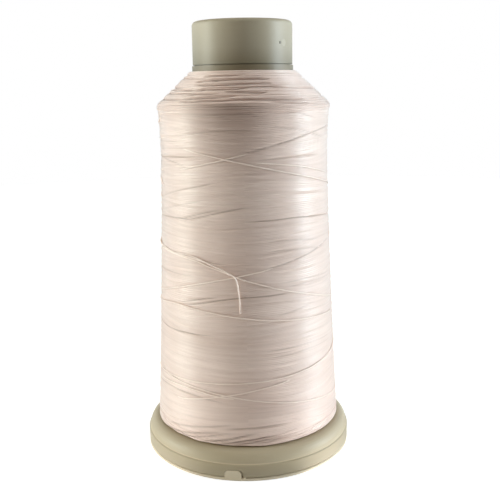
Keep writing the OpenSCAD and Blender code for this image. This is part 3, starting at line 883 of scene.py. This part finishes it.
def shoulder_gap_depth(angle, along):
    """How deep the gaps between the ridges are at a place, 0 to 1, and how far they push
    a turn aside."""
    depth = np.zeros(np.broadcast(angle, along).shape)
    push = np.zeros_like(depth)
    for level, points in shoulder_gaps:
        degrees, heights = np.array(points, float).T
        for shift in (-360, 0, 360):
            here = np.degrees(angle) + shift
            share = np.clip((here - degrees[0]) / (degrees[-1] - degrees[0]), 0, 1)
            opened = level * np.sin(math.pi * share) ** GAP_EXPONENT
            middle = slope_at(np.interp(here, degrees, heights) * MM)
            off = (along - middle) / GAP_W
            deep = opened * np.exp(-off ** 2)
            depth = np.maximum(depth, deep)
            push += deep * off * GAP_W
    return depth, push


def shoulder_lift(angle, along):
    """How far the ridges stand out of the plain slope, and the gaps reach into it."""
    depth, _ = shoulder_gap_depth(angle, along)
    ends = eased(along / RELIEF_START) * eased((SLOPE_LENGTH - along) / RELIEF_END)
    return ends * (RIDGE_H - GAP_DEPTH * depth)


def pressed_in(lines, angle, z):
    """How far the side is pressed in under lines: angle, height, depth and half width."""
    pressed = np.zeros(np.broadcast(angle, z).shape)
    turn = np.degrees(angle)
    for line_angle, line_z, depth, half_width in lines:
        depth = np.broadcast_to(depth, line_angle.shape)
        first = math.floor((line_angle[0] - 360) / 360)
        last = math.ceil(line_angle[-1] / 360)
        for shift in range(first, last + 1):
            here = turn + 360 * shift
            ends = between(here, line_angle[0], line_angle[-1])
            if ends.max() > 0:
                off = (z - np.interp(here, line_angle, line_z)) / half_width
                deep = ends * np.interp(here, line_angle, depth)
                pressed = np.maximum(pressed, deep * np.exp(-off ** 2))
    return pressed


def wound_side(row, turns, pitch, lines):
    """The winding on the side, row by row: its points, and how far they are pressed in."""
    rng = np.random.default_rng(WINDING_SEED)
    column = np.arange(COLUMNS)[None, :]
    angle = TAU * column / COLUMNS
    turn = row / ROWS_PER_TURN + column / COLUMNS
    inside = (turn > 0) & (turn < turns)
    rest = FOOT_Z + np.clip(turn, 0, turns) * pitch
    ends = eased((rest - FOOT_Z) / FOOT_CALM) * eased((SHOULDER_START_Z - rest) / EDGE_CALM)
    z = rest + soft_waves(rng, angle, rest, *WANDER_WAVES) * WANDER * ends
    bunch = soft_waves(rng, angle, rest, *BUNCH_WAVES) * BUNCH_RELIEF * ends
    round_turn = np.abs(np.sin(math.pi * row / ROWS_PER_TURN)) ** VALLEY_EXPONENT
    valley = VALLEY_DEPTH * (1 - round_turn)
    radius = package_radius(z) - np.where(inside, valley, VALLEY_DEPTH) + bunch
    pressed = pressed_in(lines, angle, z)
    radius -= pressed
    radius -= FOOT_TUCK * np.exp(-((z - FOOT_Z) / FOOT_TUCK_H) ** 2)
    return around(angle, radius, z), pressed


def row_beside(line, post, side_rows, rows):
    """The row that a row meets in the next column. Past the last column it is the same
    row, but on the side it is one turn higher, because the thread climbs."""
    on_side = (line >= 1) & (line <= side_rows)
    climb = np.where((post == COLUMNS - 1) & on_side, ROWS_PER_TURN, 0)
    return np.minimum(line + climb, np.where(on_side, side_rows, rows))


def build_package(material, lines):
    """The side of the package as one continuous winding, pressed in along lines, with the
    slope under the shoulder's turns and the faces on flange, barrel and stop ring."""
    turns = int((SHOULDER_START_Z - FOOT_Z) / TURN_PITCH)
    pitch = (SHOULDER_START_Z - FOOT_Z) / turns
    row = np.arange(-ROWS_PER_TURN, turns * ROWS_PER_TURN + 1)[:, None]
    side, pressed = wound_side(row, turns, pitch, lines)
    angle = TAU * np.arange(COLUMNS)[None, :] / COLUMNS
    along = np.linspace(0, SLOPE_LENGTH, SHOULDER_ROWS)[1:, None]
    slope = shoulder_point(angle, along, shoulder_lift(angle, along) - SLOPE_SINK)
    top_ring = around(angle, BARREL_TOP_R + LAY_GAP, HEAD_Z)
    foot_ring = around(angle, BARREL_R + LAY_GAP, FOOT_Z)
    points = np.concatenate([foot_ring, side, slope, top_ring, foot_ring])
    open_gap, _ = shoulder_gap_depth(angle, along)
    bare = np.zeros((1, COLUMNS))
    # Depth in a gap, which the tint darkens with dust and painted shade
    depth = np.concatenate([bare, SIDE_DUST_AND_SHADE * pressed / TIGHT_DEPTH, open_gap, bare, bare])

    rows = len(points)
    line, post = np.meshgrid(np.arange(rows - 1), np.arange(COLUMNS), indexing="ij")
    next_post = (post + 1) % COLUMNS
    quads = corners(line * COLUMNS + post,
                    row_beside(line, post, len(row), rows) * COLUMNS + next_post,
                    row_beside(line + 1, post, len(row), rows) * COLUMNS + next_post,
                    (line + 1) * COLUMNS + post)

    # Both maps count the height in turns
    slope_end = turns + SLOPE_LENGTH / pitch
    height = np.concatenate([[-1], row[:, 0] / ROWS_PER_TURN, turns + along[:, 0] / pitch,
                             [slope_end + more for more in HIDDEN_TURNS]])
    share = (height - height[0]) / (height[-1] - height[0])
    spread = TAU * MAP_R / COLUMNS
    u = corners(post, post + 1, post + 1, post) * spread
    v = corners(height[line], height[line], height[line + 1], height[line + 1])
    bake_v = corners(share[line], share[line], share[line + 1], share[line + 1])
    thread_map = np.stack([u, v / 2], axis=-1).reshape(-1, 2)
    bake_map = np.stack([u / (spread * COLUMNS), bake_v], axis=-1).reshape(-1, 2)
    piece = finish_mesh("wound_package", points.reshape(-1, 3), quads.reshape(-1, 4).tolist(),
                        thread_map, bake_map, material, depth)
    weld(piece)
    return piece


def build_shoulder(material):
    """The turns on the shoulder, bunched into wavy ridges."""
    angle = np.linspace(0, TAU, SHOULDER_COLUMNS + 1)[:-1]
    rng = np.random.default_rng(WINDING_SEED + 2)
    paths, depths = [], []
    start, end = SHOULDER_FIRST, SLOPE_LENGTH - SHOULDER_LAST
    for rest in np.arange(start, end, SHOULDER_PITCH):
        drift = soft_waves(rng, angle, 0 * angle, *DRIFT_WAVES) * DRIFT
        _, push = shoulder_gap_depth(angle, rest + 0 * angle)
        along = np.clip(rest + drift + push, start, end)
        sunk = EDGE_SINK * (1 - eased(along / EDGE_SINK_REACH))
        lift = shoulder_lift(angle, along) + (RIDGE_LIFT - sunk) * THREAD_R
        paths.append(shoulder_point(angle, along, lift))
        depths.append(shoulder_gap_depth(angle, along)[0])
    return build_threads("shoulder_windings", paths, material, closed=True, depths=depths)


# ---- Threads on the side -------------------------------------------------

# What lies on the side so far, as a height over the full layer. Threads that
# are laid later rest on the ones before.
ground = np.zeros((GROUND_ANGLES, int(HEAD_Z / GROUND_STEP) + GROUND_SPARE))


def lay_on_side(angle, z, sink, dive):
    """Lays a thread along angles (degrees, even steps) and heights, and gives how far its
    middle lies out from the full layer. sink is how far it is pressed in, and dive, from
    0 to 1, how far it goes down into the package."""
    reach = int(THREAD_R / GROUND_STEP)
    offsets = np.arange(-reach, reach + 1)
    bulge = np.sqrt(THREAD_R ** 2 - (offsets * GROUND_STEP) ** 2)
    post = np.round(angle * GROUND_ANGLES / 360).astype(int) % GROUND_ANGLES
    rung = np.round(z / GROUND_STEP).astype(int)
    here = (post[:, None], rung[:, None] + offsets)
    need = (ground[here] + bulge).max(axis=1)
    half = max(1, int(BRIDGE_ANGLE / (angle[1] - angle[0])))
    padded = np.pad(need, 2 * half, mode="edge")
    windows = np.lib.stride_tricks.sliding_window_view(padded, 2 * half + 1)
    highest = windows.max(axis=1)
    rest = np.lib.stride_tricks.sliding_window_view(highest, 2 * half + 1).mean(axis=1)
    lift = (1 - dive) * (rest - sink) - dive * DIVE_DEPTH * THREAD_R
    np.maximum.at(ground, here, lift[:, None] + bulge)
    return lift


def side_path(angle, z, lift):
    """Points of a thread on the side."""
    return around(np.radians(angle), package_radius(z) + lift, z)


def every_degree(points):
    """Angles from the first point to the last, one degree apart."""
    return np.arange(points[0][0], points[-1][0] + 0.1, 1.0)


def pass_route(points):
    """Angles and heights of one fast pass of the winder over the whole side, averaged so
    that it has no kinks."""
    angle = every_degree(points)
    degrees, share = np.array(points, float).T
    mean = sum(weight * np.interp(angle + shift, degrees, share) for weight, shift in
               ((1, -BLEND_ANGLE), (2, 0), (1, BLEND_ANGLE))) / 4
    return angle, FOOT_Z + mean * (HEAD_Z - FOOT_Z)


def side_route(points):
    """Angles and heights of a single turn, on a soft curve through points."""
    angle = every_degree(points)
    degrees, heights = np.array(points, float).T
    shifts = np.linspace(-BEND_ANGLE, BEND_ANGLE, BEND_STEPS)
    z = np.mean([np.interp(angle + shift, degrees, heights) for shift in shifts], axis=0) * MM
    return angle, np.clip(z, FOOT_Z + THREAD_D, SHOULDER_START_Z - THREAD_D)


def chance_turns(rng, count, levels):
    """More turns, with a level from a range, on the back and sides."""
    found = []
    for _ in range(count):
        start = rng.uniform(*TURN_START)
        end = min(start + rng.uniform(*TURN_SPAN), TURN_END)
        middle = (start + end) / 2
        height = rng.uniform(*TURN_HEIGHT)
        climb = rng.uniform(*TURN_CLIMB) * rng.choice([-1, 1])
        bend = rng.uniform(-TURN_BEND, TURN_BEND)
        spots = [(start, height - climb), (middle, height + bend), (end, height + climb)]
        found.append((rng.uniform(*levels), spots))
    return found


def chance_foot_grooves(rng, count):
    """More grooves on the foot, away from the front."""
    found = []
    for _ in range(count):
        start = rng.uniform(*GROOVE_START)
        lowest = rng.uniform(*GROOVE_LOWEST)
        lean = rng.choice([-1, 1])
        spots = [(start + turn, lowest + rise) for turn, rise in
                 zip(GROOVE_ANGLES[::lean], GROOVE_RISES)]
        found.append((rng.uniform(*GROOVE_LEVELS), sorted(spots)))
    return found


def covered_share(angle, covered):
    """How far a pass is covered along its angles, from 0 to 1."""
    share = np.zeros(len(angle))
    for start, end, _ in covered:
        share = np.maximum(share, between(angle, start, end))
    return share


def lay_thread(route, sink, covered=()):
    """Path of a thread on the side whose ends dive into the package. The stretches that are
    covered lie deeper."""
    angle, z = route
    dive = np.maximum(1 - between(angle, angle[0], angle[-1]), covered_share(angle, covered))
    return side_path(angle, z, lay_on_side(angle, z, sink * THREAD_R, dive))


def pass_bed(route, covered):
    """The bed that a pass is pressed into, where it isn't covered."""
    return (*route, BED_DEPTH * (1 - covered_share(route[0], covered)), BED_W)


def cover_grooves(route, covered):
    """The grooves that show where a pass is covered."""
    angle, z = route
    found = []
    for start, end, level in covered:
        here = (angle >= start) & (angle <= end)
        found.append((angle[here], z[here] + COVER_RISE, level * TIGHT_DEPTH, TIGHT_W))
    return found


def foot_turn(angle, z, dive, grooves):
    """Path of a turn at the foot, which follows the grooves that it crosses, and how deep
    it lies in them."""
    pressed = pressed_in(grooves, np.radians(angle % 360), z)
    lift = lay_on_side(angle, z, FOOT_SINK * THREAD_R, dive)
    # How deep it lies darkens its tint with dust and painted shade
    return side_path(angle, z, lift - pressed), SIDE_DUST_AND_SHADE * pressed / TIGHT_DEPTH


def build_foot(material, grooves):
    """Turns at the foot: loops where the winder turns back, and nearly level rings."""
    rng = np.random.default_rng(WINDING_SEED + 4)
    laid = []
    for index in range(FOOT_LOOPS):
        lowest = rng.uniform(*LOOP_LOWEST) * MM
        middle = 360 * (index + rng.uniform(-LOOP_STRAY, LOOP_STRAY)) / FOOT_LOOPS
        half = rng.uniform(*LOOP_HALF)
        angle = np.arange(middle - half, middle + half, 1.0)
        climb = rng.uniform(*LOOP_CLIMB) * MM
        z = FOOT_Z + lowest + climb * np.abs((angle - middle) / half) ** LOOP_EXPONENT
        dive = eased((np.abs(angle - middle) - half + DIVE_ANGLE) / DIVE_ANGLE)
        laid.append(foot_turn(angle, z, dive, grooves))
    for index in range(FOOT_RINGS):
        angle = np.arange(*RING_ANGLES, 1.0)
        wave = soft_waves(rng, np.radians(angle), 0 * angle, *RING_WAVES) * RING_WANDER
        z = FOOT_Z + FIRST_RING_Z + RING_PITCH * index + np.abs(wave)
        dive = 1 - between(angle, angle[0], angle[-1])
        laid.append(foot_turn(angle, z, dive, grooves))
    paths, depths = zip(*laid)
    return build_threads("foot_windings", paths, material, depths=depths)


def tail_path():
    """Route of the loose end, as a smooth curve through its points."""
    degrees, heights, level = np.array(TAIL_POINTS, float).T
    z = heights * MM
    radius = package_radius(z) + THREAD_R + LAY_GAP + level * (THREAD_D + LAY_GAP)
    points = around(np.radians(degrees), radius, z)
    padded = np.concatenate([points[:1], points, points[-1:]])
    path = []
    for a, b, c, d in zip(padded, padded[1:], padded[2:], padded[3:]):
        for t in np.arange(0, 1, 1 / TAIL_STEPS):
            path.append((2 * b + (c - a) * t + (2 * a - 5 * b + 4 * c - d) * t ** 2
                         + (3 * b - a - 3 * c + d) * t ** 3) / 2)
    return np.array(path + [points[-1]])


# ---- Mark of the mould's gate --------------------------------------------

def build_gate_mark(name, angle, size, height, material):
    """A low round mark on the collar, curved as the collar is, with a soft edge."""
    turn = TAU * np.arange(GATE_SIDES) / GATE_SIDES
    points = []
    for share, rise in GATE_PROFILE:
        spot = angle + share * size * np.cos(turn) / COLLAR_R
        points.append(around(spot, COLLAR_R + rise * height, GATE_Z + share * size * np.sin(turn)))
    points.append(around(angle, COLLAR_R + height, GATE_Z)[None])
    points = np.concatenate(points)
    quads, _, _ = ring_faces(len(GATE_PROFILE), GATE_SIDES)
    last = (len(GATE_PROFILE) - 1) * GATE_SIDES
    faces = quads.tolist()
    faces += [[last + k, last + (k + 1) % GATE_SIDES, last + GATE_SIDES] for k in range(GATE_SIDES)]
    faces.append(list(range(GATE_SIDES - 1, -1, -1)))
    flat = np.stack([(np.arctan2(points[:, 0], -points[:, 1]) - angle) * COLLAR_R / size,
                     (points[:, 2] - GATE_Z) / size], axis=-1) / 2 + 0.5
    maps = np.concatenate([flat[face] for face in faces])
    return finish_mesh(name, points, faces, maps, maps, material)


# ---- Studio --------------------------------------------------------------

def make_camera():
    """The camera: a little above the spool's middle, looking down on it."""
    data = bpy.data.cameras.new("studio_camera")
    data.lens = CAMERA_LENS
    data.sensor_width = CAMERA_SENSOR
    data.clip_start = CAMERA_CLIP
    camera = bpy.data.objects.new("studio_camera", data)
    camera.matrix_world = (Matrix.Translation(CAMERA_PLACE)
                           @ Matrix.Rotation(-CAMERA_YAW, 4, "Z")
                           @ Matrix.Rotation(math.pi / 2 - CAMERA_PITCH, 4, "X")
                           @ Matrix.Rotation(CAMERA_ROLL, 4, "Z"))
    bpy.context.scene.collection.objects.link(camera)
    bpy.context.scene.camera = camera


def make_floor():
    """A plain white floor. In front of the spool it throws little light back, and round
    the spool it shines up at it."""
    bpy.ops.mesh.primitive_circle_add(vertices=FLOOR_SIDES, radius=FLOOR_R, fill_type="NGON",
                                      location=(0, 0, -FLOOR_DROP))
    floor = bpy.context.object
    floor.name = "floor"
    material = bpy.data.materials.new("floor_white")
    tree = bare_tree(material)
    place = add(tree, "ShaderNodeTexCoord").outputs["Object"]
    away = vector_maths(tree, "LENGTH", place)
    front = maths(tree, "DIVIDE", xyz(tree, place)["Y"], maths(tree, "MAXIMUM", away, MM))
    dark = maths(tree, "MULTIPLY", ranged(tree, front, *FLOOR_FRONT, 1.0, 0.0),
                 ranged(tree, away, FLOOR_BRIGHT_R, FLOOR_BRIGHT_R * 2))
    white = add(tree, "ShaderNodeBsdfDiffuse", {
        "Color": mixed(tree, dark, FLOOR_WHITE, FLOOR_DIM)})
    shine = add(tree, "ShaderNodeEmission", {
        "Color": ramp_round(tree, place, FLOOR_ROUND),
        "Strength": ranged(tree, away, *FLOOR_SHINE_R, FLOOR_SHINE, 0.0)})
    paper = add(tree, "ShaderNodeBsdfDiffuse", {"Color": FLOOR_PAPER})
    glow = add(tree, "ShaderNodeEmission", {"Color": WHITE, "Strength": FLOOR_GLOW})
    surface = seen_apart(tree, added(tree, white.outputs[0], shine.outputs[0]),
                         added(tree, paper.outputs[0], glow.outputs[0]))
    add(tree, "ShaderNodeOutputMaterial", {"Surface": surface})
    floor.data.materials.append(material)


def make_light():
    """A low white tent: a strip light at each side, dimmer behind, dark round the camera."""
    world = bpy.data.worlds.new("tent")
    bpy.context.scene.world = world
    tree = bare_tree(world)
    way = add(tree, "ShaderNodeTexCoord").outputs["Generated"]
    height = xyz(tree, way)["Z"]
    brightest = max(colour.max() for _, colour in TENT_ROUND)
    walls = add(tree, "ShaderNodeBackground", {
        "Color": ramp_round(tree, way, [(angle, colour / brightest)
                                        for angle, colour in TENT_ROUND]),
        "Strength": ranged(tree, height, *TENT_FADE, brightest, 0.0)})
    roof = add(tree, "ShaderNodeBackground", {
        "Color": (*WARM, 1), "Strength": ranged(tree, height, *TENT_ROOF, 0.0, TENT_TOP)})
    seen = add(tree, "ShaderNodeBackground", {"Color": WHITE, "Strength": 1.0})
    surface = seen_apart(tree, added(tree, walls.outputs[0], roof.outputs[0]),
                         seen.outputs[0])
    add(tree, "ShaderNodeOutputWorld", {"Surface": surface})
    bpy.context.scene.view_settings.view_transform = "Standard"


# ---- The whole spool -----------------------------------------------------

make_camera()
ply_twist = make_ply_twist()
thread_tint = make_thread_tint()
moulded_plastic = make_moulded_plastic()
# The loose thread is the wound thread painted paler, as painted light
loose_thread = thread_material("loose_thread", LOOSE_COLOURS, streaks=0.15,
                               twist_depth=0.03 * MM, fibre=0.35)
wound_thread = thread_material("wound_thread", WOUND_COLOURS, streaks=0.8,
                               twist_depth=0.02 * MM, fibre=0.25)

# The loose end, with its plies as real relief
tail = tail_path()
loose_end = build_threads("loose_end", [tail], loose_thread, sides=TAIL_SIDES, plies=PLIES)
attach(loose_end, "spool")
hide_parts("thread_tail")

# Routes of the turns on the side, and what they press into it
chance = np.random.default_rng(WINDING_SEED + 3)
slack_turns = [(level, side_route(points)) for level, points in
               SLACK_TURNS + chance_turns(chance, MORE_SLACK_TURNS, SLACK_LEVELS)]
tight_turns = [(level, side_route(points)) for level, points in
               TIGHT_TURNS + chance_turns(chance, MORE_TIGHT_TURNS, TIGHT_LEVELS)]
rising_route = pass_route(RISING_POINTS)
falling_route = pass_route(FALLING_POINTS)
beds = [pass_bed(rising_route, RISING_COVERED), pass_bed(falling_route, FALLING_COVERED)]
beds += [(*route, BED_DEPTH, BED_W) for _, route in slack_turns]
grooves = [(*route, level * TIGHT_DEPTH, TIGHT_W) for level, route in tight_turns]
foot_grooves = [(*side_route(points), level * FOOT_GROOVE_DEPTH, FOOT_GROOVE_W)
                for level, points in
                FOOT_GROOVES + chance_foot_grooves(chance, MORE_FOOT_GROOVES)]
covers = (cover_grooves(rising_route, RISING_COVERED)
          + cover_grooves(falling_route, FALLING_COVERED))

# The wound thread. Turns are laid on the side in the order in which they rest on each other
package = build_package(wound_thread, beds + grooves + covers + foot_grooves)
shoulder = build_shoulder(wound_thread)
foot = build_foot(wound_thread, foot_grooves)
slack = build_threads("slack_turns", [lay_thread(route, SLACK_SINK - level)
                                      for level, route in slack_turns], loose_thread)
rising = build_threads("rising_winding",
                       [lay_thread(rising_route, PASS_SINK, RISING_COVERED)], loose_thread)
falling = build_threads("falling_winding",
                        [lay_thread(falling_route, PASS_SINK, FALLING_COVERED)], loose_thread)
for piece, node, slot in ((package, "thread_package", "wound_thread"),
                          (shoulder, "shoulder_turns", "wound_thread"),
                          (foot, "foot_turns", "wound_thread"),
                          (rising, "rising_pass", "loose_thread"),
                          (falling, "falling_pass", "loose_thread")):
    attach(piece, "spool")
    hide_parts(node)
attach(slack, "spool")

# The plastic pieces, and the two gate marks on the collar
plastics = {name: plastic_material(name, *finish) for name, finish in PLASTICS.items()}
for node, name in NODE_PLASTICS.items():
    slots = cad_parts[node].data.materials
    slots.clear()
    slots.append(plastics[name])
for name, place, plastic in (("gate_patch", GATE_PATCH, "gate_plastic"),
                             ("gate_pip", GATE_PIP, "pip_plastic")):
    mark = build_gate_mark(name, *place, plastics[plastic])
    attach(mark, "spool")

make_floor()
make_light()
